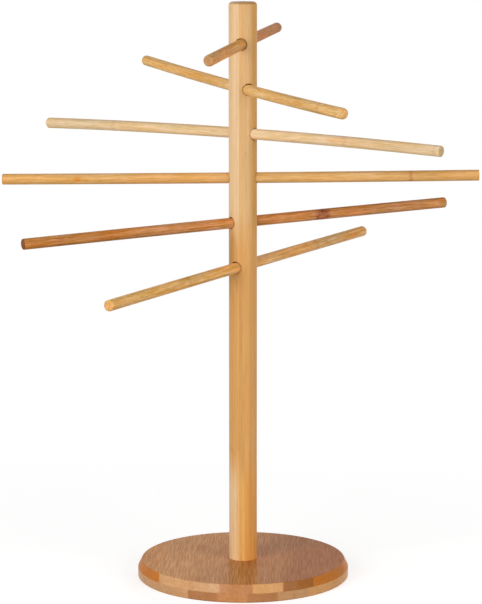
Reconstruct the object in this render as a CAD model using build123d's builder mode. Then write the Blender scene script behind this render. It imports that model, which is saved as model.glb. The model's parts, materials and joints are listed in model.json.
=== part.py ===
"""Pasta drying rack: a round foot, an upright post and six loose rods that pass through it.

Millimetres. +Z is up, and the origin is the centre of the foot's underside. +X is to the right
and +Y away from someone who stands in front of the rack. The rods are numbered from the top.
"""

from build123d import *
from math import cos, radians, sin, tan
import os

# The whole rack
total_height = 495

# Foot: a round board with a steep bevel round its top edge and a small one round its bottom
base_diameter = 182
base_thickness = 15
base_bevel_height = 6.7
base_bevel_width = 3.4
base_bevel_round = 0.8
base_bottom_bevel = 0.8

# Post: a straight round bar that stands on the foot
post_diameter = 24
post_top_round = 3

# Rods: six equal dowels, one above the other, that slide in bores through the post
rod_length = 405
rod_diameter = 9.2
rod_end_bevel = 1
first_rod_drop = 35.1
rod_pitch = 37.8

# Bores: loose round each rod, so that it can be pulled out by hand
rod_clearance = 0.4
bore_mouth_bevel = 0.4

# The way that each bore, and its rod's front or right-hand end, points: in degrees from +X
# towards +Y, about 31 on from the one above
bore_turns = [-98.2, -65.6, -34.8, -3.5, 27.9, 57.7]

# How each rod lies in its level bore: how far it is pushed out towards that end, as a share of
# its length, and how far that end leans up, as a share of the lean at which it touches the bore
rod_push_shares = [-0.045, -0.030, -0.019, -0.007, -0.002, 0.007]
rod_lean_shares = [0.1, -0.89, 0, 0.47, 0.68, 0.79]

# Wood screw: driven up through the foot into the post, with its head below the underside
screw_diameter = 5
screw_length = 45
screw_point_length = 7
screw_head_diameter = 10
screw_head_angle = 90
screw_head_rim = 0.4
screw_head_depth = 1
screw_clearance = 0.25
pilot_clearance = 0.05
pilot_spare_depth = 3

# Cross recess in the screw's head
recess_span = 4.8
recess_slot = 1.3
recess_depth = 2.4
recess_draft_angle = 8

# Each cut runs past the surface that it opens through by this much
overrun = 2

base_radius = base_diameter / 2
base_wall_height = base_thickness - base_bevel_height
post_length = total_height - base_thickness
bore_radius = rod_diameter / 2 + rod_clearance
bore_reach = post_diameter / 2 + overrun
screw_radius = screw_diameter / 2
screw_head_radius = screw_head_diameter / 2
head_slope = tan(radians(screw_head_angle / 2))
head_cone_start = screw_head_depth + screw_head_rim
head_cone_end = head_cone_start + (screw_head_radius - screw_radius) / head_slope
screw_tip = screw_head_depth + screw_length
pilot_depth = screw_tip + pilot_spare_depth - base_thickness


def bore_plane(place, rise=0):
    """The plane square to a bore where it crosses the post's axis, or to a rod that rises in it."""
    turn = radians(bore_turns[place])
    height = total_height - first_rod_drop - place * rod_pitch
    return Plane(origin=(0, 0, height), z_dir=(cos(turn), sin(turn), rise))


def make_rod(place):
    """One straight dowel with bevelled ends, where it was last pushed to in its bore."""
    rise = rod_lean_shares[place] * rod_clearance / (post_diameter / 2)
    middle = rod_push_shares[place] * rod_length
    with BuildPart() as rod:
        with BuildSketch(bore_plane(place, rise).offset(middle - rod_length / 2)):
            Circle(rod_diameter / 2)
        extrude(amount=rod_length)
        chamfer(rod.edges().filter_by(GeomType.CIRCLE), rod_end_bevel)
    rod.part.label = f"rod_{place + 1}"
    return rod.part


# Foot, turned from its half profile, with a countersunk hole from below for the screw
with BuildPart() as base_plate:
    with BuildSketch(Plane.XZ) as half_profile:
        with BuildLine():
            Polyline(
                (0, 0),
                (base_radius, 0),
                (base_radius, base_wall_height),
                (base_radius - base_bevel_width, base_thickness),
                (0, base_thickness),
                close=True,
            )
        make_face()
        corners = half_profile.vertices().sort_by(Axis.X)[2:].sort_by(Axis.Y)
        chamfer(corners[0], base_bottom_bevel)
        fillet(corners[1:], base_bevel_round)
    revolve(axis=Axis.Z)
    with Locations(-Plane.XY):
        CounterSinkHole(
            radius=screw_radius + screw_clearance,
            counter_sink_radius=screw_head_radius + head_cone_start * head_slope,
            depth=base_thickness + overrun,
            counter_sink_angle=screw_head_angle,
        )
base_plate.part.label = "base_plate"

# Post, with a pilot hole up its foot and a bevelled bore for each rod, turned from the last
with BuildPart() as post:
    with BuildSketch(Plane.XY.offset(base_thickness)):
        Circle(post_diameter / 2)
    extrude(amount=post_length)
    fillet(post.edges().sort_by(Axis.Z)[-1], post_top_round)
    with Locations(-Plane.XY.offset(base_thickness)):
        Hole(radius=screw_radius + pilot_clearance, depth=pilot_depth)
    for place in range(len(bore_turns)):
        with BuildSketch(bore_plane(place)):
            Circle(bore_radius)
        extrude(amount=bore_reach, both=True, mode=Mode.SUBTRACT)
        mouths = post.edges(Select.LAST).filter_by(GeomType.LINE, reverse=True)
        chamfer(mouths, bore_mouth_bevel)
post.part.label = "post"

# Screw, turned from its half profile: flat head, cone, shank and point
with BuildPart() as base_screw:
    with BuildSketch(Plane.XZ):
        with BuildLine():
            Polyline(
                (0, screw_head_depth),
                (screw_head_radius, screw_head_depth),
                (screw_head_radius, head_cone_start),
                (screw_radius, head_cone_end),
                (screw_radius, screw_tip - screw_point_length),
                (0, screw_tip),
                close=True,
            )
        make_face()
    revolve(axis=Axis.Z)
    with BuildSketch(Plane.XY.offset(screw_head_depth)):
        Rectangle(recess_span, recess_slot)
        Rectangle(recess_slot, recess_span)
    extrude(amount=recess_depth, taper=recess_draft_angle, mode=Mode.SUBTRACT)
base_screw.part.label = "base_screw"

rods = [make_rod(place) for place in range(len(bore_turns))]

os.makedirs("parts", exist_ok=True)
for piece in [base_plate.part, post.part, base_screw.part, *rods]:
    export_step(piece, f"parts/{piece.label}.step")
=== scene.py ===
"""Pasta drying rack: its bamboo, its rods as they really lie, and the studio round it.

Metres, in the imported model's own frame. The foot, the post and the screw keep their CAD shape and
get their finish here. The six rods are modelled again with rounded ends and a slight bow.
"""

import json
from math import pi, radians

import bmesh
import bpy
from bpy.props import FloatProperty, FloatVectorProperty, IntProperty, PointerProperty
from mathutils import Matrix, Vector


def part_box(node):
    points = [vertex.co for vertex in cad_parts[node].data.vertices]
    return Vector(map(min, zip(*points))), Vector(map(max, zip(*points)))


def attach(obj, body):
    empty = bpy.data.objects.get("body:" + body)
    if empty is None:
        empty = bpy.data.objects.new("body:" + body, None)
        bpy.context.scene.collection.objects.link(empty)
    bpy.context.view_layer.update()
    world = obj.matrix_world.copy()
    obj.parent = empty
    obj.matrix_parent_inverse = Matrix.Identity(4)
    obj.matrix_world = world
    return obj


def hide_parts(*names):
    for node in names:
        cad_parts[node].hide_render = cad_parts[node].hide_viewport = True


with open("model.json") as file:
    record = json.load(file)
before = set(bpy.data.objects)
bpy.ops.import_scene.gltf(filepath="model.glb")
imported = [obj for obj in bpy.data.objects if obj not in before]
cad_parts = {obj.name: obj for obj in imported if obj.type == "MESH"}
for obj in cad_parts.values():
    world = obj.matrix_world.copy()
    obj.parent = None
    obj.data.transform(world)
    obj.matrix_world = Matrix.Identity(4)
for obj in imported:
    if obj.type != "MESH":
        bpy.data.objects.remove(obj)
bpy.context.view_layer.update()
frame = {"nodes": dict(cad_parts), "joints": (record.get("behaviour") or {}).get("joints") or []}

bl_info = {
    "name": "Pasta Drying Rack",
    "version": (1, 0, 0),
    "blender": (4, 5, 0),
    "location": "3D View > Sidebar > Pasta Rack",
    "description": "Finishes a bamboo pasta drying rack and sets up its studio",
    "category": "Object",
}

MM = 0.001

# Where a rod's material reads each point's place in the straight rod
GRAIN_PLACE = "grain_place"

# How far one seed of noise lies from the next, along X, Y and Z
SEED_SPREAD = (1, 1.7, 0.6)


def tint(red, green, blue):
    """A colour as paint charts give it, from 0 to 255 each, turned into Blender's linear values."""
    shares = [part / 255 for part in (red, green, blue)]
    return tuple(s / 12.92 if s <= 0.04045 else ((s + 0.055) / 1.055) ** 2.4 for s in shares)


class RodLook:
    """What sets one rod apart: its bamboo, its shape, and its marks and tones.

    The bow is how far the rod's ends rise, or fall if it is negative, from the line of its middle.
    A node has its place along the rod, its reach to each side and its strength. Spots are smudges,
    and some are painted light that makes the rod's upper side lighter. A spot has its place, its
    height above the rod's middle, its reach along the rod and its tone, and is taller the further
    it reaches. Places are from the post's axis towards the rod's front or right-hand end, and tones
    multiply the bamboo's colour. The far tone is that of the rod's other end, which it fades to
    between two places, and the end tone that of its end faces.
    """

    def __init__(self, bamboo, slot, bow, end_round, contrast=1.0, nodes=(), smudges_and_painted_light=(),
                 fade=(8, -8), far_tone=(1, 1, 1), end_tone=(0.84, 0.80, 0.76)):
        self.bamboo = bamboo
        self.slot = slot
        self.bow = bow * MM
        self.end_round = end_round * MM
        self.contrast = contrast
        self.nodes = nodes
        self.smudges_and_painted_light = smudges_and_painted_light
        self.fade = fade
        self.far_tone = far_tone
        self.end_tone = end_tone


ROD_LOOKS = [
    RodLook(
        "brown", "dark_rod_bamboo", -0.5, 1.9, contrast=1.8, nodes=[(-132, 3, 0.4)],
        smudges_and_painted_light=[
            (176, 2, 6, (1.0, 0.86, 0.9)), (120, 0, 22, (1.0, 0.95, 0.8)),
            # At 40 mm, 3 mm up: painted light that lightens the rod's top beside the post, where
            # the post's shade falls
            (40, 3, 50, (1.25, 1.25, 1.25)), (-222, 1, 60, (0.66, 0.80, 0.92))],
        far_tone=(0.90, 0.68, 0.40), end_tone=(0.78, 0.88, 1.7)),
    RodLook(
        "golden", "golden_rod_bamboo", 1.7, 1.8, contrast=1.5, nodes=[(151, 3, 0.2)],
        smudges_and_painted_light=[
            (-94, 0, 34, (0.98, 0.87, 0.68)), (116, 1, 16, (0.98, 0.90, 0.8)),
            # At 44 mm, 3 mm up: painted light that makes the rod's upper side lighter, as light
            # from above would
            (-22, 1, 34, (1.2, 1.28, 1.6)), (44, 3, 50, (1.1, 1.14, 1.2)),
            (156, -3, 44, (0.8, 0.8, 0.74))],
        fade=(-30, -55), far_tone=(1.03, 0.98, 0.85), end_tone=(0.82, 0.82, 0.84)),
    RodLook(
        "pale", "pale_rod_bamboo", -3.1, 0.8,
        nodes=[(104, 4, 0.15), (-135, 3, 0.15), (190, 2, 0.15)],
        smudges_and_painted_light=[(96, 1, 14, (1.0, 0.90, 0.78)), (36, 0, 5, (1.0, 0.93, 0.88))],
        end_tone=(0.78, 0.76, 0.68)),
    RodLook(
        "orange", "golden_rod_bamboo", 0.5, 0.5, contrast=1.2, nodes=[(142, 2, 0.3)],
        smudges_and_painted_light=[
            (-141, 0, 5, (0.94, 0.68, 0.32)), (-150, 0, 30, (0.94, 0.88, 0.72)),
            (152, 1, 9, (1.04, 1.04, 1.1)), (188, 1.5, 30, (1.1, 1.12, 1.2))]),
    RodLook(
        "red_brown", "dark_rod_bamboo", -0.4, 0.9, contrast=2.3,
        nodes=[(76, 9, 1.0), (-170, 4, 0.25)],
        smudges_and_painted_light=[
            (200, -1.2, 3.5, (0.74, 1.1, 1.05)), (56, 0, 8, (1.1, 1.06, 0.9)),
            (186, 0.5, 12, (1.2, 1.25, 1.35)), (-190, 3, 40, (1.02, 1.14, 1.4)),
            (-20, -2, 20, (1.1, 1.25, 1.5))],
        fade=(-88, -125), far_tone=(0.86, 0.81, 0.62), end_tone=(0.5, 0.42, 0.4)),
    RodLook(
        "tan", "golden_rod_bamboo", -0.3, 1.2, contrast=1.9, nodes=[(118, 3, 0.25), (-88, 3, 0.2)],
        smudges_and_painted_light=[
            (180, 0, 14, (1.0, 0.80, 0.62)), (110, 0.5, 30, (1.08, 1.08, 1.12)),
            (-150, 1, 40, (0.98, 0.97, 0.82))],
        far_tone=(0.97, 0.97, 0.84), end_tone=(1.0, 0.97, 0.95)),
]


# Bamboo's grain, layer by layer: the width and length of its marks in millimetres, the noise at
# which a mark begins and is full, and the noise's detail
GRAIN_LAYERS = {
    "streaks": (3.0, 150, 0.35, 0.65, 2.0),
    "lines": (1.3, 90, 0.35, 0.65, 2.0),
    "fibres": (0.5, 35, 0.3, 0.7, 3.0),
    "dashes": (0.55, 14, 0.60, 0.72, 1.0),
    "runs": (1.4, 32, 0.38, 0.62, 1.0),
    "flecks": (1.1, 10, 0.38, 0.62, 1.0),
}
LAYER_SEED_STEP = 3.1
ALL_LAYERS = tuple(GRAIN_LAYERS)
BOARD_LAYERS = ("streaks", "lines", "fibres", "dashes")

# How each layer tints a rod, a post or a foot. A rod's middle value is the layer's mean, which is
# evened out, and that of the post and the foot the layer's strength.
ROD_GRAIN_TONES = (
    ("drift", 0.5, (1.05, 0.96, 0.84)),
    ("streaks", 0.5, (0.91, 0.90, 0.86)),
    ("lines", 0.5, (1.08, 1.06, 1.02)),
    ("runs", 0.5, (0.94, 0.91, 0.79)),
    ("flecks", 0.5, (0.93, 0.91, 0.75)),
    ("fibres", 0.5, (0.91, 0.87, 0.80)),
    ("dashes", 0.1, (0.85, 0.80, 0.72)),
)
POST_GRAIN_TONES = (
    ("drift", 1.0, (0.97, 0.94, 0.88)),
    ("streaks", 1.0, (0.95, 0.93, 0.90)),
    ("lines", 1.0, (1.05, 1.04, 1.0)),
    ("fibres", 0.7, (0.93, 0.89, 0.82)),
    ("dashes", 0.55, (0.80, 0.72, 0.62)),
)
FOOT_GRAIN_TONES = (
    ("drift", 1.0, (0.95, 0.92, 0.86)),
    ("streaks", 1.0, (0.95, 0.92, 0.88)),
    ("lines", 1.0, (0.90, 0.86, 0.80)),
    ("fibres", 0.8, (0.92, 0.88, 0.82)),
    ("dashes", 0.5, (0.76, 0.68, 0.58)),
)

# A rod's nodes and spots, which are smudges and painted light: how far their outlines wander, the
# tones of a node's band, its patches and its ring, how tall a spot is besides its share of its
# reach, and the tone of open pores
MARK_WOBBLE = 6 * MM
NODE_BAND_TONE = (0.84, 0.68, 0.68)
NODE_PATCH_TONE = (0.62, 0.46, 0.46)
NODE_RING_TONE = (0.72, 0.60, 0.50)
SPOT_HEIGHT = 2.3
SPOT_REACH_SHARE = 1 / 25
ROD_PORE_TONE = (0.90, 0.86, 0.83)

# The noise of the rods' grain: the seed before the first rod's, and the step from rod to rod
ROD_SEED = 20.0
ROD_SEED_STEP = 9.0

# How a rod is modelled: how squarely its flat ends face along it, the steps of its rounded ends,
# the insets that raise the flat faces, as shares of a face's radius and of the dome's height, the
# share left for the middle, how close points are to be welded, and the angle up to which faces are
# shaded as one
FLAT_END_FACING = 0.999
END_ROUND_STEPS = 5
DOME_INSETS = ((0.3, 0.55), (0.35, 0.3))
DOME_TIP_SHARE = 0.15
WELD_DISTANCE = 0.001 * MM
SMOOTH_ANGLE = radians(40)

POST_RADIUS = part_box("post")[1].x

# The post's strips from left to right: the left joint of each as a share of the post's width, and
# its colour and lightness in the upper, the middle and the lower part of the post. The upper part's
# pale left strips are partly the strips' own tone and partly a painted highlight of light from the
# upper left
POST_JOINTS = (0, 0.26, 0.36, 0.47, 0.56, 0.70, 0.80)
POST_UPPER_STRIPS_AND_HIGHLIGHT = (
    ("pale", 1.0), ("pale", 0.9), ("tan", 1.0), ("tan", 1.0), ("tan", 1.0), ("tan", 0.95),
    ("honey", 1.0))
POST_MIDDLE_STRIPS = (
    ("golden", 1.0), ("golden", 1.0), ("golden", 0.85), ("golden", 0.95), ("golden", 0.95),
    ("golden", 0.9), ("golden", 1.0))
POST_LOWER_STRIPS = (
    ("pale", 1.0), ("tan", 1.2), ("honey", 1.1), ("golden", 1.1), ("orange", 1.0),
    ("orange", 0.95), ("orange", 1.05))

# Heights on the post, in metres: where one part's colours turn into those of the next, where the
# painted shade beside the two lowest bores grows from nothing to full at its lower and at its upper
# end, and the rings of its two nodes
POST_LOWER_BLEND = (0.090, 0.130)
POST_UPPER_BLEND = (0.300, 0.340)
PAINTED_SHADE_START = (0.262, 0.276)
PAINTED_SHADE_END = (0.325, 0.300)
POST_RINGS = (0.322, 0.128)

# How far those heights wander, where across the post the painted shade grows from nothing to full,
# as shares of its width, the place left of which the rings show, and how strong they are
POST_WANDER = 0.03
PAINTED_SHADE_ACROSS = (0.42, 0.04)
POST_RING_END = -3.5 * MM
POST_RING_STRENGTH = 0.3

# The tones of the painted shade, the rings, the post's top and the open pores there
PAINTED_SHADE_TONE = (0.72, 0.72, 0.62)
POST_RING_TONE = (0.80, 0.70, 0.60)
POST_END_TONE = (0.74, 0.62, 0.48)
POST_PORE_TONE = (0.8, 0.75, 0.7)

# The strips of the foot's two plies from left to right: the left edge of each in millimetres from
# the middle, and its colour and lightness. They reach as far to each side as the first does.
FOOT_STRIPS_REACH = 95
FOOT_UPPER_STRIPS = (
    (-95.0, "amber", 1.0), (-68.7, "pale", 1.0), (-42.4, "pale", 0.9), (-16.1, "orange", 1.0),
    (12.0, "tan", 1.0), (37.2, "deep", 1.0), (62.4, "amber", 0.9), (87.6, "amber", 1.0))
FOOT_LOWER_STRIPS = (
    (-95.0, "pale", 0.9), (-68.1, "pale", 0.9), (-42.9, "orange", 0.9), (-17.7, "orange", 1.1),
    (7.5, "orange", 0.9), (32.7, "pale", 0.8), (57.9, "tan", 1.05), (83.1, "tan", 1.05))

# How far the grain is moved along the strips, in metres, so that no two are alike: over all the
# post's strips together, from each of the foot's to the next, and from its lower ply to its upper.
# The width of a strip in the foot's grain comes last.
POST_STRIPS_SHIFT = 0.7
FOOT_STRIP_SHIFT = 0.57
FOOT_PLY_SHIFT = 0.31
FOOT_STRIP_WIDTH = 25 * MM

# How far the strips' colours run into each other at a joint, as a share of the width of them all
POST_JOINT_BLUR_SHARE = 0.012
FOOT_JOINT_BLUR_SHARE = 0.003

# The foot's flat faces: the tone that they deepen to between two places from left to right, partly
# the strips' own darker tone and partly painted shade, how much of the strips' own colours shows in
# them, the tone of their fine lines, and one that makes up for it all over
FACE_DEEPENS = (-0.07, 0.09)
FACE_DEEP_TONE = (0.60, 0.43, 0.29)
FACE_STRIP_SHARE = 0.12
FACE_LINE_TONE = (0.80, 0.66, 0.40)
FACE_EVEN_TONE = (1.11, 1.20, 1.55)

# The lamps: each one's turn from the front to the right and its rise, in degrees, its size, and
# whether polish mirrors it
LAMPS = {
    "key": (-38, 16, 1.3, True),
    "fill": (46, 12, 1.3, True),
    "back": (165, 10, 1.1, False),
}
LAMP_DISTANCE = 1.9
LAMP_TARGET = Vector((0, 0, 0.25))

# The floor: its radius and sides, how far out its shadows fade into plain white, and its paper's
# two greys
FLOOR_RADIUS = 4
FLOOR_SIDES = 96
FLOOR_FADE = (0.2, 0.6)
PAPER_GREYS = (0.48, 0.52)

# The camera's sensor in millimetres, as Blender gives it, and how far it sees in metres
SENSOR_WIDTH = 36
CAMERA_REACH = 50

WHITE = (1, 1, 1, 1)


class PastaRackColours(bpy.types.PropertyGroup):
    """Colours of the rack's bamboo and steel."""

    # On the upper post the pale strips also carry a painted highlight besides their own tone
    post_pale: FloatVectorProperty(
        name="Post, Pale", description="The palest strips of the post",
        subtype="COLOR", min=0, max=1, default=tint(241, 205, 161))
    post_tan: FloatVectorProperty(
        name="Post, Tan", description="The tan strips of the upper post",
        subtype="COLOR", min=0, max=1, default=tint(219, 177, 123))
    post_honey: FloatVectorProperty(
        name="Post, Honey", description="The honey-coloured strips of the upper post",
        subtype="COLOR", min=0, max=1, default=tint(215, 165, 94))
    post_golden: FloatVectorProperty(
        name="Post, Golden", description="The golden strips of the middle of the post",
        subtype="COLOR", min=0, max=1, default=tint(224, 168, 99))
    post_orange: FloatVectorProperty(
        name="Post, Orange", description="The orange strips of the lower post",
        subtype="COLOR", min=0, max=1, default=tint(224, 160, 82))
    foot_pale: FloatVectorProperty(
        name="Foot, Pale", description="The palest strips of the foot's rim",
        subtype="COLOR", min=0, max=1, default=tint(235, 184, 137))
    foot_tan: FloatVectorProperty(
        name="Foot, Tan", description="The tan strips of the foot's rim",
        subtype="COLOR", min=0, max=1, default=tint(227, 173, 116))
    foot_orange: FloatVectorProperty(
        name="Foot, Orange", description="The orange strips of the foot's rim",
        subtype="COLOR", min=0, max=1, default=tint(204, 144, 96))
    foot_amber: FloatVectorProperty(
        name="Foot, Amber", description="The amber strips at the foot's edges",
        subtype="COLOR", min=0, max=1, default=tint(219, 136, 52))
    foot_deep: FloatVectorProperty(
        name="Foot, Deep", description="The deepest strip of the foot's rim",
        subtype="COLOR", min=0, max=1, default=tint(172, 111, 52))
    foot_face: FloatVectorProperty(
        name="Foot, Face", description="The foot's flat faces",
        subtype="COLOR", min=0, max=1, default=tint(219, 158, 90))
    rod_pale: FloatVectorProperty(
        name="Pale Rod", description="Bamboo of the palest rod",
        subtype="COLOR", min=0, max=1, default=tint(238, 204, 157))
    rod_golden: FloatVectorProperty(
        name="Golden Rod", description="Bamboo of the golden rod",
        subtype="COLOR", min=0, max=1, default=tint(241, 192, 124))
    rod_orange: FloatVectorProperty(
        name="Orange Rod", description="Bamboo of the orange rod",
        subtype="COLOR", min=0, max=1, default=tint(220, 168, 104))
    rod_tan: FloatVectorProperty(
        name="Tan Rod", description="Bamboo of the tan rod",
        subtype="COLOR", min=0, max=1, default=tint(238, 180, 114))
    rod_brown: FloatVectorProperty(
        name="Brown Rod", description="Bamboo of the brown rod",
        subtype="COLOR", min=0, max=1, default=tint(210, 147, 71))
    rod_red_brown: FloatVectorProperty(
        name="Red-Brown Rod", description="Bamboo of the red-brown rod",
        subtype="COLOR", min=0, max=1, default=tint(194, 132, 79))
    steel: FloatVectorProperty(
        name="Steel", description="Plated steel of the screw",
        subtype="COLOR", min=0, max=1, default=tint(196, 196, 190))


class PastaRackRods(bpy.types.PropertyGroup):
    """Sizes of the rods' ends and faces."""

    end_dome: FloatProperty(
        name="End Dome", description="How far a rod's end face stands out in its middle",
        unit="LENGTH", min=0, max=1 * MM, default=0.15 * MM)
    sides: IntProperty(
        name="Sides", description="Faces round a rod", min=16, max=96, default=48)
    spans: IntProperty(
        name="Spans", description="Faces along a rod", min=8, max=120, default=54)


class PastaRackFoot(bpy.types.PropertyGroup):
    """How the strips of the foot's two plies lie."""

    strip_turn: FloatProperty(
        name="Strip Turn",
        description="How far the strips are turned to the right from straight back",
        subtype="ANGLE", min=-pi, max=pi, default=radians(2.5))
    ply_height: FloatProperty(
        name="Ply Height", description="Height of the glue line between the foot's two plies",
        unit="LENGTH", min=2 * MM, max=13 * MM, default=7.9 * MM)


class PastaRackStage(bpy.types.PropertyGroup):
    """Sizes and levels of the studio."""

    camera_distance: FloatProperty(
        name="Camera Distance", description="From the post to the camera, level",
        unit="LENGTH", min=0.5, max=10, default=2.277)
    camera_height: FloatProperty(
        name="Camera Height", description="Height of the camera above the table",
        unit="LENGTH", min=0, max=5, default=0.6285)
    camera_tilt: FloatProperty(
        name="Camera Tilt", description="How far the camera looks down",
        subtype="ANGLE", min=-pi / 2, max=pi / 2, default=radians(9.69))
    camera_turn: FloatProperty(
        name="Camera Turn", description="How far the camera looks to the left",
        subtype="ANGLE", min=-pi, max=pi, default=radians(0.042))
    camera_roll: FloatProperty(
        name="Camera Roll", description="How far the camera leans to its right",
        subtype="ANGLE", min=-pi, max=pi, default=radians(0.037))
    camera_lens: FloatProperty(
        name="Lens", description="Focal length in millimetres for a 36 mm sensor",
        min=10, max=500, default=161.25)
    key_power: FloatProperty(
        name="Key Power", description="Watts of the large soft lamp at the front left",
        min=0, max=500, default=25)
    fill_power: FloatProperty(
        name="Fill Power", description="Watts of the soft lamp at the front right",
        min=0, max=500, default=18)
    back_power: FloatProperty(
        name="Back Power", description="Watts of the soft lamp behind the rack",
        min=0, max=500, default=14)
    room_level: FloatProperty(
        name="Room Level", description="Light that comes evenly from all round",
        min=0, max=2, default=0.2)
    floor_lift: FloatProperty(
        name="Floor Lift", description="White that the camera sees on the floor besides its light",
        min=0, max=1, default=0.69)


def settings():
    """The rack's settings on the current scene."""
    return bpy.context.scene.pasta_rack


class PastaRackSettings(bpy.types.PropertyGroup):
    """All that a user would change on the rack."""

    colours: PointerProperty(
        name="Colours", description="The rack's colours", type=PastaRackColours)
    rods: PointerProperty(
        name="Rods", description="The rods' sizes", type=PastaRackRods)
    foot: PointerProperty(
        name="Foot", description="The foot's strips", type=PastaRackFoot)
    stage: PointerProperty(
        name="Stage", description="The studio", type=PastaRackStage)


class Finish:
    """The nodes of a material or the world, with a short call for each kind that they use."""

    def __init__(self, owner):
        self.owner = owner
        self.owner.use_nodes = True
        self.tree = self.owner.node_tree
        self.tree.nodes.clear()

    def add(self, kind, inputs=(), **options):
        """A node with its options, whose inputs are values or other nodes' outputs."""
        made = self.tree.nodes.new(kind)
        for name, value in options.items():
            setattr(made, name, value)
        for place, value in dict(inputs).items():
            if isinstance(value, bpy.types.NodeSocket):
                self.tree.links.new(value, made.inputs[place])
            else:
                made.inputs[place].default_value = value
        return made

    def math(self, operation, *values):
        """The result of a sum with up to three values."""
        made = self.add("ShaderNodeMath", enumerate(values), operation=operation)
        return made.outputs[0]

    def vector(self, operation, *values):
        """A vector sum's outputs: the vector and, for some sums, the number."""
        return self.add("ShaderNodeVectorMath", enumerate(values), operation=operation).outputs

    def split(self, place):
        """The X, Y and Z of a place."""
        return self.add("ShaderNodeSeparateXYZ", {0: place}).outputs

    def join(self, x, y, z):
        """A place from its X, Y and Z."""
        return self.add("ShaderNodeCombineXYZ", {0: x, 1: y, 2: z}).outputs[0]

    def blend(self, share, first, second, mode="MIX"):
        """Two colours mixed, the second by its share. Sockets 6, 7 and 2 are a mix's colours."""
        made = self.add(
            "ShaderNodeMix", {0: share, 6: first, 7: second}, data_type="RGBA", blend_type=mode)
        return made.outputs[2]

    def ease(self, value, start, end, low=0.0, high=1.0):
        """A smooth step from low to high while the value goes from start to end."""
        made = self.add(
            "ShaderNodeMapRange", {0: value, 1: start, 2: end, 3: low, 4: high},
            interpolation_type="SMOOTHSTEP")
        return made.outputs[0]

    def noise(self, place, size, seed=0.0, detail=2.0):
        """Noise whose patches are about size, in metres along each axis."""
        scale = tuple(1 / part for part in size)
        scaled = self.vector("MULTIPLY", place, scale)[0]
        moved = self.vector("ADD", scaled, tuple(seed * part for part in SEED_SPREAD))[0]
        return self.add(
            "ShaderNodeTexNoise", {"Vector": moved, "Scale": 1.0, "Detail": detail}).outputs[0]

    def steps(self, value, edges, tones, blur=0.0):
        """A colour for each strip as the value goes from 0 to 1, blurred a little at the edges."""
        ramp = self.add("ShaderNodeValToRGB", {0: value})
        ramp.color_ramp.interpolation = "LINEAR" if blur else "CONSTANT"
        stops = [(edges[0], tones[0])]
        for edge, before, after in zip(edges[1:], tones, tones[1:]):
            if blur:
                stops.append((edge - blur, before))
            stops.append((edge + blur, after))
        made = ramp.color_ramp.elements
        while len(made) < len(stops):
            made.new(1)
        for stop, (start, colour) in zip(list(made), stops):
            stop.position = start
            stop.color = with_alpha(colour)
        return ramp.outputs[0]

    def shade(self, colour, factors, share=1.0):
        """The colour, multiplied by the factors where the share is 1."""
        return self.blend(share, colour, with_alpha(factors), "MULTIPLY")

    def surface(self, colour, roughness, height, bump, gloss=0.5, coat=0.0, coat_roughness=0.1,
                metal=0.0):
        """The finished surface, with its bumps as deep as bump in metres."""
        normal = self.add(
            "ShaderNodeBump", {"Height": height, "Strength": 1.0, "Distance": bump}).outputs[0]
        skin = self.add("ShaderNodeBsdfPrincipled", {
            "Base Color": colour, "Roughness": roughness, "Metallic": metal, "Normal": normal,
            "Specular IOR Level": gloss, "Coat Weight": coat, "Coat Roughness": coat_roughness})
        return self.close("ShaderNodeOutputMaterial", skin.outputs[0])

    def close(self, kind, shader):
        """The finished material or world, with the shader in its output node of this kind."""
        self.add(kind, {0: shader})
        return self.owner


def with_alpha(colour):
    """A colour with the fourth value that Blender's colour sockets take."""
    return (*colour, 1)


def strip_tones(colours, board, strips):
    """The colour of each strip of the post or the foot, multiplied by its lightness."""
    return [
        [part * lightness for part in getattr(colours, f"{board}_{name}")]
        for *_, name, lightness in strips]


def new_material(name):
    """An empty material to give a finish to."""
    return Finish(bpy.data.materials.new(name))


class Grain:
    """Bamboo's grain along one axis, 0, 1 or 2, of a place: each layer goes from 0 to 1.

    The drift is a slow change of tone besides the layers. Its size is in millimetres.
    """

    def __init__(self, finish, place, along, seed, drift_size, drift_seed, names=ALL_LAYERS):
        drift = finish.noise(place, [part * MM for part in drift_size], drift_seed)
        self.drift = finish.ease(drift, 0.35, 0.65)
        for number, (name, layer) in enumerate(GRAIN_LAYERS.items()):
            if name not in names:
                continue
            width, length, start, end, detail = layer
            size = [width * MM] * 3
            size[along] = length * MM
            marks = finish.noise(place, size, seed + LAYER_SEED_STEP * number, detail)
            setattr(self, name, finish.ease(marks, start, end))

    def tint(self, finish, body, tones):
        """The body's colour, multiplied by each layer's tone as strongly as the table says."""
        for name, strength, tone in tones:
            share = finish.math("MULTIPLY", getattr(self, name), strength)
            body = finish.shade(body, tone, share)
        return body


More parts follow.
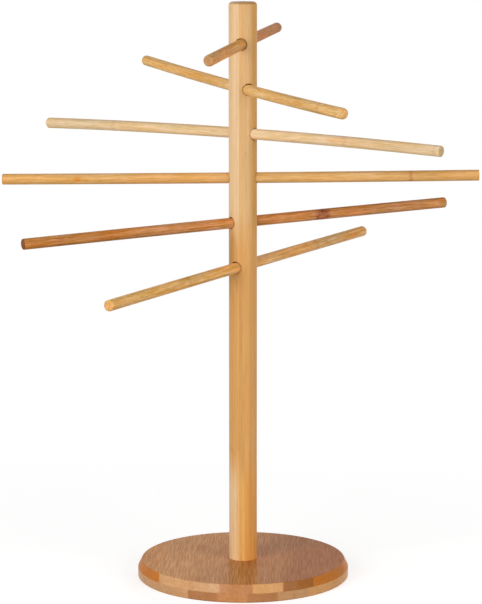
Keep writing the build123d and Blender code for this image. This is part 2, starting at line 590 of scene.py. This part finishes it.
def make_rod_bamboo(name, colour, look, direction, seed):
    """Bamboo of a dowel: grain along it, darker nodes across it and open pores at its ends."""
    finish = new_material(name)
    place = finish.add("ShaderNodeAttribute", attribute_name=GRAIN_PLACE).outputs["Vector"]
    x, y, z = finish.split(place)
    grain = Grain(finish, place, 0, seed, drift_size=(60, 9, 9), drift_seed=seed + 11)

    fade_start, fade_end = look.fade
    far = finish.ease(x, fade_start * MM, fade_end * MM)
    body = finish.shade(with_alpha(colour), look.far_tone, far)
    for layer, mean, tone in ROD_GRAIN_TONES:
        tone = [part ** look.contrast for part in tone]
        body = finish.shade(body, tone, getattr(grain, layer))
        body = finish.shade(body, [1 / (1 - mean + mean * part) for part in tone])

    round_place = finish.join(0.0, y, z)
    wobble = finish.noise(round_place, (1, 2.5 * MM, 2.5 * MM), seed + 5)
    level = finish.math("SUBTRACT", x, MARK_WOBBLE / 2)
    wavy = finish.math("MULTIPLY_ADD", wobble, MARK_WOBBLE, level)
    patches = finish.ease(finish.noise(place, (4 * MM, 1.5 * MM, 1.5 * MM), seed + 9), 0.38, 0.60)
    sides = finish.ease(finish.noise(round_place, (1, 3 * MM, 3 * MM), seed + 6, 1.0), 0.40, 0.60)
    for node, reach, strength in look.nodes:
        gap = finish.math("ABSOLUTE", finish.math("SUBTRACT", wavy, node * MM))
        band = finish.ease(gap, 0.5 * reach * MM, reach * MM, strength, 0.0)
        body = finish.shade(body, NODE_BAND_TONE, band)
        body = finish.shade(body, NODE_PATCH_TONE, finish.math("MULTIPLY", band, patches))
        ring = finish.ease(gap, 0.3 * MM, 1.6 * MM, 0.7 * strength, 0.0)
        body = finish.shade(body, NODE_RING_TONE, finish.math("MULTIPLY", ring, sides))
    # Spots: smudges of the bamboo's own tone, and painted light that makes a rod's upper side
    # lighter
    for spot_place, height, reach, tone in look.smudges_and_painted_light:
        along = finish.math("DIVIDE", finish.math("SUBTRACT", wavy, spot_place * MM), reach * MM)
        tall = (SPOT_HEIGHT + SPOT_REACH_SHARE * reach) * MM
        up = finish.math("DIVIDE", finish.math("SUBTRACT", y, height * MM), tall)
        gap = finish.vector("LENGTH", finish.join(along, up, 0.0))[1]
        body = finish.shade(body, tone, finish.ease(gap, 0.3, 1.0, 1.0, 0.0))

    normal = finish.add("ShaderNodeTexCoord").outputs["Normal"]
    facing = finish.math("ABSOLUTE", finish.vector("DOT_PRODUCT", normal, direction)[1])
    end = finish.ease(facing, 0.3, 0.9)
    pores = finish.ease(
        finish.noise(place, (4 * MM, 0.7 * MM, 0.7 * MM), seed + 13), 0.42, 0.62)
    body = finish.shade(body, look.end_tone, end)
    body = finish.shade(body, ROD_PORE_TONE, finish.math("MULTIPLY", end, pores))

    roughness = finish.math("MULTIPLY_ADD", grain.fibres, 0.12, 0.46)
    height = finish.math("SUBTRACT", grain.fibres, grain.dashes)
    return finish.surface(
        body, roughness, height, 0.03 * MM, gloss=0.03, coat=0.1, coat_roughness=0.3)


def make_post_bamboo(colours):
    """Bamboo strips glued side by side and turned round: each strip has its own tone and grain."""
    finish = new_material("post_bamboo")
    place = finish.add("ShaderNodeTexCoord").outputs["Object"]
    x, y, z = finish.split(place)
    across = finish.add("ShaderNodeMapRange", {0: x, 1: -POST_RADIUS, 2: POST_RADIUS}).outputs[0]
    upper, middle, lower = [
        finish.steps(
            across, POST_JOINTS, strip_tones(colours, "post", strips), POST_JOINT_BLUR_SHARE)
        for strips in (POST_UPPER_STRIPS_AND_HIGHLIGHT, POST_MIDDLE_STRIPS, POST_LOWER_STRIPS)]
    shares = [[number / len(POST_JOINTS)] * 3 for number in range(len(POST_JOINTS))]
    share = finish.add(
        "ShaderNodeSeparateColor", {0: finish.steps(across, POST_JOINTS, shares)}).outputs[0]
    own = finish.join(x, y, finish.math("MULTIPLY_ADD", share, POST_STRIPS_SHIFT, z))
    grain = Grain(finish, own, 2, 2.0, drift_size=(8, 8, 90), drift_seed=5.0, names=BOARD_LAYERS)
    wander = finish.noise(own, (4 * MM, 4 * MM, 30 * MM), 8.0)
    swirl = finish.math("MULTIPLY_ADD", wander, POST_WANDER, z)
    # The upper colours take over above this; their pale left strips are partly a painted highlight
    body = finish.blend(finish.ease(swirl, *POST_UPPER_BLEND), middle, upper)
    body = finish.blend(finish.ease(swirl, *POST_LOWER_BLEND), lower, body)
    # Painted shade: darkens the post's left edge beside and between the two lowest bores, where
    # shade falls round the rods
    painted_shade = finish.math(
        "MULTIPLY", finish.ease(swirl, *PAINTED_SHADE_END), finish.ease(swirl, *PAINTED_SHADE_START))
    painted_shade = finish.math("MULTIPLY", painted_shade, finish.ease(across, *PAINTED_SHADE_ACROSS))
    body = finish.shade(body, PAINTED_SHADE_TONE, painted_shade)
    body = grain.tint(finish, body, POST_GRAIN_TONES)
    left = finish.math("LESS_THAN", x, POST_RING_END)
    for height in POST_RINGS:
        gap = finish.math("ABSOLUTE", finish.math("SUBTRACT", swirl, height))
        ring = finish.ease(gap, 0.3 * MM, 3.0 * MM, POST_RING_STRENGTH, 0.0)
        body = finish.shade(body, POST_RING_TONE, finish.math("MULTIPLY", ring, left))

    normal = finish.add("ShaderNodeTexCoord").outputs["Normal"]
    end = finish.ease(finish.math("ABSOLUTE", finish.split(normal)[2]), 0.25, 0.9)
    pores = finish.ease(finish.noise(place, (0.8 * MM, 0.8 * MM, 5 * MM), 17.0), 0.42, 0.62)
    body = finish.shade(body, POST_END_TONE, end)
    body = finish.shade(body, POST_PORE_TONE, finish.math("MULTIPLY", end, pores))

    roughness = finish.math("MULTIPLY_ADD", grain.fibres, 0.12, 0.4)
    height = finish.math("SUBTRACT", grain.fibres, grain.dashes)
    return finish.surface(
        body, roughness, height, 0.03 * MM, gloss=0.25, coat=0.1, coat_roughness=0.25)


def make_foot_bamboo(colours, foot):
    """A board of two plies of bamboo strips, its flat faces more finely grained than its rim."""
    finish = new_material("foot_bamboo")
    place = finish.add("ShaderNodeTexCoord").outputs["Object"]
    turned = finish.add(
        "ShaderNodeVectorRotate", {"Vector": place, "Angle": foot.strip_turn},
        rotation_type="Z_AXIS").outputs[0]
    x, y, z = finish.split(turned)
    reach = FOOT_STRIPS_REACH * MM
    across = finish.add("ShaderNodeMapRange", {0: x, 1: -reach, 2: reach}).outputs[0]
    is_upper = finish.math("GREATER_THAN", z, foot.ply_height)
    plies = []
    for strips in (FOOT_LOWER_STRIPS, FOOT_UPPER_STRIPS):
        joints = [(strip[0] / FOOT_STRIPS_REACH + 1) / 2 for strip in strips]
        tones = strip_tones(colours, "foot", strips)
        plies.append(finish.steps(across, joints, tones, FOOT_JOINT_BLUR_SHARE))
    body = finish.blend(is_upper, *plies)

    number = finish.math("FLOOR", finish.math("DIVIDE", x, FOOT_STRIP_WIDTH))
    shift = finish.math(
        "ADD", finish.math("MULTIPLY", is_upper, FOOT_PLY_SHIFT),
        finish.math("MULTIPLY", number, FOOT_STRIP_SHIFT))
    own = finish.join(x, finish.math("ADD", y, shift), z)
    grain = Grain(finish, own, 1, 4.0, drift_size=(20, 60, 20), drift_seed=5.0, names=BOARD_LAYERS)

    normal = finish.add("ShaderNodeTexCoord").outputs["Normal"]
    flat = finish.ease(finish.math("ABSOLUTE", finish.split(normal)[2]), 0.8, 0.95)
    # Darker towards the right: partly the strips' own darker tone, partly painted shade
    deeper = finish.ease(x, *FACE_DEEPENS)
    face = finish.shade(with_alpha(colours.foot_face), FACE_DEEP_TONE, deeper)
    face = finish.blend(FACE_STRIP_SHARE, face, body)
    fine_lines = finish.ease(
        finish.noise(own, (0.85 * MM, 26 * MM, 0.85 * MM), 9.0, 1.0), 0.42, 0.58)
    face = finish.shade(face, FACE_LINE_TONE, fine_lines)
    face = finish.shade(face, FACE_EVEN_TONE)
    body = finish.blend(flat, body, face)
    body = grain.tint(finish, body, FOOT_GRAIN_TONES)

    roughness = finish.math("MULTIPLY_ADD", grain.fibres, 0.1, 0.4)
    height = finish.math("SUBTRACT", grain.lines, grain.dashes)
    return finish.surface(
        body, roughness, height, 0.02 * MM, gloss=0.03, coat=0.17, coat_roughness=0.12)


def make_screw_steel(colours):
    """Plated steel with fine turning marks round the head."""
    finish = new_material("screw_steel")
    place = finish.add("ShaderNodeTexCoord").outputs["Object"]
    x, y, z = finish.split(place)
    radius = finish.vector("LENGTH", finish.join(x, y, 0.0))[1]
    marks = finish.noise(finish.join(radius, z, 0.0), (0.12 * MM, 0.3 * MM, 1), 1.0)
    stains = finish.ease(finish.noise(place, (2 * MM, 2 * MM, 2 * MM), 8.0, 3.0), 0.4, 0.7)
    bright = with_alpha(colours.steel)
    dull = with_alpha([part * 0.6 for part in colours.steel])
    colour = finish.blend(finish.math("MULTIPLY", stains, 0.5), bright, dull)
    roughness = finish.math("MULTIPLY_ADD", marks, 0.2, 0.22)
    return finish.surface(colour, roughness, marks, 0.02 * MM, metal=1.0)


def give_finish(name, material):
    """A CAD node keeps its mesh and gets this material all over."""
    mesh = frame["nodes"][name].data
    mesh.materials.clear()
    mesh.materials.append(material)


class RodPlace:
    """Where a CAD rod lies: its direction, its radius, and its two ends from the post's axis."""

    def __init__(self, number):
        node = f"rod_{number}"
        joint = next(j for j in frame["joints"] if j["name"] == f"{node}_slide")
        self.direction = Vector(joint["axis"]).normalized()
        low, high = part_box(node)
        middle = (low + high) / 2
        flat = Vector((self.direction.x, self.direction.y, 0))
        along = middle.dot(flat) / flat.length_squared
        self.origin = middle - along * self.direction
        points = [v.co - self.origin for v in frame["nodes"][node].data.vertices]
        along_points = [p.dot(self.direction) for p in points]
        self.start, self.end = min(along_points), max(along_points)
        self.radius = max((p - p.dot(self.direction) * self.direction).length for p in points)

    def turn(self):
        """The turn that takes X to the rod's direction and Y as near upright as it can."""
        side = self.direction.cross(Vector((0, 0, 1))).normalized()
        rise = side.cross(self.direction)
        return Matrix((self.direction, rise, side)).transposed().to_4x4()


def deselect_all():
    """Leaves no object selected, so that an operator works on what it makes."""
    bpy.ops.object.select_all(action="DESELECT")


def choose(piece, kind, test):
    """In edit mode, selects the edges or faces that pass a test, and nothing else."""
    bpy.ops.mesh.select_mode(type="EDGE" if kind == "edges" else "FACE")
    bpy.ops.mesh.select_all(action="DESELECT")
    mesh = bmesh.from_edit_mesh(piece.data)
    for part in getattr(mesh, kind):
        if test(part):
            part.select_set(True)
    bmesh.update_edit_mesh(piece.data)


def runs_along(edge):
    """True for an edge along the rod, from end to end."""
    first, second = (v.co for v in edge.verts)
    return abs((first - second).normalized().x) > 0.9


def is_end_face(face):
    """True for the flat face at a rod's end."""
    return abs(face.normal.x) > FLAT_END_FACING


def is_at_rim(edge):
    """True for an edge round a rod's end face."""
    return any(is_end_face(face) for face in edge.link_faces)


def keep_grain(piece):
    """Stores where each point lies in the straight rod, so that the grain follows its bow."""
    mesh = piece.data
    places = [0.0] * (3 * len(mesh.vertices))
    mesh.vertices.foreach_get("co", places)
    mesh.attributes.new(GRAIN_PLACE, "FLOAT_VECTOR", "POINT").data.foreach_set("vector", places)


def model_rod(number, place, look, sizes):
    """One dowel along X, shaped and bowed there, then laid where the CAD rod lies."""
    length = place.end - place.start - 2 * sizes.end_dome
    middle = (place.start + place.end) / 2
    deselect_all()
    bpy.ops.mesh.primitive_cylinder_add(
        vertices=sizes.sides, radius=place.radius, depth=length,
        location=(middle, 0, 0), rotation=(0, pi / 2, 0))
    piece = bpy.context.object
    piece.name = f"bamboo_rod_{number}"
    piece.data.name = piece.name
    bpy.ops.object.transform_apply()
    bpy.ops.object.mode_set(mode="EDIT")

    choose(piece, "edges", runs_along)
    bpy.ops.mesh.subdivide(number_cuts=sizes.spans - 1)
    choose(piece, "edges", is_at_rim)
    bpy.ops.mesh.bevel(
        offset=look.end_round, segments=END_ROUND_STEPS, profile=0.5, affect="EDGES")
    choose(piece, "faces", is_end_face)
    face_radius = place.radius - look.end_round
    for share, rise in DOME_INSETS:
        bpy.ops.mesh.inset(thickness=share * face_radius, depth=rise * sizes.end_dome)
    bpy.ops.mesh.poke(offset=DOME_TIP_SHARE * sizes.end_dome)
    bpy.ops.mesh.select_all(action="SELECT")
    bpy.ops.mesh.remove_doubles(threshold=WELD_DISTANCE)
    bpy.ops.mesh.normals_make_consistent(inside=False)
    bpy.ops.object.mode_set(mode="OBJECT")
    keep_grain(piece)

    # An arc of a small angle rises by its length times the angle over 8
    bend = piece.modifiers.new("bow", "SIMPLE_DEFORM")
    bend.deform_method = "BEND"
    bend.deform_axis = "Z"
    bend.angle = 8 * look.bow / length
    bpy.ops.object.modifier_apply(modifier=bend.name)
    piece.matrix_world = Matrix.Translation(place.origin) @ place.turn()
    bpy.ops.object.transform_apply()
    bpy.ops.object.shade_smooth_by_angle(angle=SMOOTH_ANGLE)
    return piece


class PASTARACK_OT_finish_foot(bpy.types.Operator):
    """Gives the foot its two plies of bamboo strips"""

    bl_idname = "pasta_rack.finish_foot"
    bl_label = "Finish Foot"

    def execute(self, context):
        own = settings()
        give_finish("base_plate", make_foot_bamboo(own.colours, own.foot))
        return {"FINISHED"}


class PASTARACK_OT_finish_post(bpy.types.Operator):
    """Gives the post its bamboo strips"""

    bl_idname = "pasta_rack.finish_post"
    bl_label = "Finish Post"

    def execute(self, context):
        own = settings()
        give_finish("post", make_post_bamboo(own.colours))
        return {"FINISHED"}


class PASTARACK_OT_finish_screw(bpy.types.Operator):
    """Gives the screw under the foot its plated steel"""

    bl_idname = "pasta_rack.finish_screw"
    bl_label = "Finish Screw"

    def execute(self, context):
        give_finish("base_screw", make_screw_steel(settings().colours))
        return {"FINISHED"}


class PASTARACK_OT_model_rods(bpy.types.Operator):
    """Models the six rods, each where its CAD rod lies"""

    bl_idname = "pasta_rack.model_rods"
    bl_label = "Model Rods"

    def execute(self, context):
        own = settings()
        for number, look in enumerate(ROD_LOOKS, start=1):
            place = RodPlace(number)
            piece = model_rod(number, place, look, own.rods)
            colour = getattr(own.colours, f"rod_{look.bamboo}")
            seed = ROD_SEED + ROD_SEED_STEP * number
            bamboo = make_rod_bamboo(
                f"rod_{number}_bamboo", colour, look, place.direction, seed)
            piece.data.materials.append(bamboo)
            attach(piece, f"rod_{number}")
            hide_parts(f"rod_{number}")
        return {"FINISHED"}


def seen_directly(finish):
    """1 for rays from the camera, and for those that it sees mirrored or through glass."""
    rays = finish.add("ShaderNodeLightPath").outputs
    seen = finish.math("MAXIMUM", rays["Is Camera Ray"], rays["Is Glossy Ray"])
    return finish.math("MAXIMUM", seen, rays["Is Transmission Ray"])


def make_floor_paper(stage):
    """Pale paper that keeps the rack's shadow near it and turns into plain white further out."""
    finish = new_material("floor_paper")
    place = finish.add("ShaderNodeTexCoord").outputs["Object"]
    x, y, z = finish.split(place)
    radius = finish.vector("LENGTH", finish.join(x, y, 0.0))[1]
    far = finish.ease(radius, *FLOOR_FADE)
    fibre = finish.noise(place, (0.9 * MM, 0.9 * MM, 0.9 * MM), 3.0)
    tone = finish.blend(fibre, *[with_alpha([grey] * 3) for grey in PAPER_GREYS])
    paper = finish.add("ShaderNodeBsdfDiffuse", {"Color": tone}).outputs[0]
    lift = finish.add("ShaderNodeEmission", {"Strength": stage.floor_lift}).outputs[0]
    lifted = finish.add("ShaderNodeAddShader", {0: paper, 1: lift}).outputs[0]
    white = finish.add("ShaderNodeEmission", {"Strength": 1.0}).outputs[0]
    shown = finish.add("ShaderNodeMixShader", {0: far, 1: lifted, 2: white}).outputs[0]
    seen = seen_directly(finish)
    mixed = finish.add("ShaderNodeMixShader", {0: seen, 1: paper, 2: shown}).outputs[0]
    return finish.close("ShaderNodeOutputMaterial", mixed)


def add_floor(stage):
    """A wide round floor under the rack."""
    deselect_all()
    bpy.ops.mesh.primitive_circle_add(
        vertices=FLOOR_SIDES, radius=FLOOR_RADIUS, fill_type="NGON")
    floor = bpy.context.object
    floor.name = "floor"
    floor.data.materials.append(make_floor_paper(stage))


def add_lamp(name, power):
    """A soft square lamp that faces the middle of the rack."""
    turn, rise, size, mirrored = LAMPS[name]
    aim = Matrix.Rotation(radians(turn), 4, "Z") @ Matrix.Rotation(-radians(rise), 4, "X")
    place = LAMP_TARGET + aim @ Vector((0, -LAMP_DISTANCE, 0))
    deselect_all()
    bpy.ops.object.light_add(type="AREA", location=place)
    lamp = bpy.context.object
    lamp.name = f"{name}_lamp"
    lamp.rotation_euler = (place - LAMP_TARGET).to_track_quat("Z", "Y").to_euler()
    lamp.data.shape = "SQUARE"
    lamp.data.size = size
    lamp.data.energy = power
    lamp.visible_camera = False
    lamp.visible_glossy = mirrored


def light_room(stage):
    """Even light from all round, which the camera sees as plain white."""
    sky = Finish(bpy.data.worlds.new("studio"))
    room, white = [
        sky.add("ShaderNodeBackground", {"Color": WHITE, "Strength": strength}).outputs[0]
        for strength in (stage.room_level, 1)]
    mixed = sky.add("ShaderNodeMixShader", {0: seen_directly(sky), 1: room, 2: white}).outputs[0]
    bpy.context.scene.world = sky.close("ShaderNodeOutputWorld", mixed)


def add_camera(stage):
    """The camera, where the photo's stood."""
    deselect_all()
    aim = Matrix.Rotation(stage.camera_turn, 3, "Z")
    aim = aim @ Matrix.Rotation(pi / 2 - stage.camera_tilt, 3, "X")
    aim = aim @ Matrix.Rotation(-stage.camera_roll, 3, "Z")
    bpy.ops.object.camera_add(
        location=(0, -stage.camera_distance, stage.camera_height), rotation=aim.to_euler())
    camera = bpy.context.object
    camera.name = "camera"
    camera.data.sensor_width = SENSOR_WIDTH
    camera.data.lens = stage.camera_lens
    camera.data.clip_end = CAMERA_REACH
    bpy.context.scene.camera = camera


class PASTARACK_OT_set_stage(bpy.types.Operator):
    """Lays the floor, hangs the lamps and stands the camera in front of the rack"""

    bl_idname = "pasta_rack.set_stage"
    bl_label = "Set Stage"

    def execute(self, context):
        stage = settings().stage
        add_floor(stage)
        for name in LAMPS:
            add_lamp(name, getattr(stage, f"{name}_power"))
        light_room(stage)
        add_camera(stage)
        context.scene.view_settings.view_transform = "Standard"
        return {"FINISHED"}


class PASTARACK_PT_rack(bpy.types.Panel):
    """The rack's buttons and settings in the sidebar"""

    bl_idname = "PASTARACK_PT_rack"
    bl_label = "Pasta Drying Rack"
    bl_space_type = "VIEW_3D"
    bl_region_type = "UI"
    bl_category = "Pasta Rack"

    def draw(self, context):
        for maker in MAKERS:
            self.layout.operator(maker.bl_idname)
        own = context.scene.pasta_rack
        for group in (own.colours, own.rods, own.foot, own.stage):
            box = self.layout.box()
            for name in group.bl_rna.properties.keys():
                if name not in ("rna_type", "name"):
                    box.prop(group, name)


MAKERS = (
    PASTARACK_OT_finish_foot,
    PASTARACK_OT_finish_post,
    PASTARACK_OT_finish_screw,
    PASTARACK_OT_model_rods,
    PASTARACK_OT_set_stage,
)
GROUPS = (PastaRackColours, PastaRackRods, PastaRackFoot, PastaRackStage, PastaRackSettings)


def register():
    for kind in (*GROUPS, *MAKERS, PASTARACK_PT_rack):
        bpy.utils.register_class(kind)
    bpy.types.Scene.pasta_rack = PointerProperty(type=PastaRackSettings)


def unregister():
    del bpy.types.Scene.pasta_rack
    for kind in reversed((*GROUPS, *MAKERS, PASTARACK_PT_rack)):
        bpy.utils.unregister_class(kind)


def main():
    register()
    bpy.ops.pasta_rack.finish_foot()
    bpy.ops.pasta_rack.finish_post()
    bpy.ops.pasta_rack.finish_screw()
    bpy.ops.pasta_rack.model_rods()
    bpy.ops.pasta_rack.set_stage()


if __name__ == "__main__":
    main()
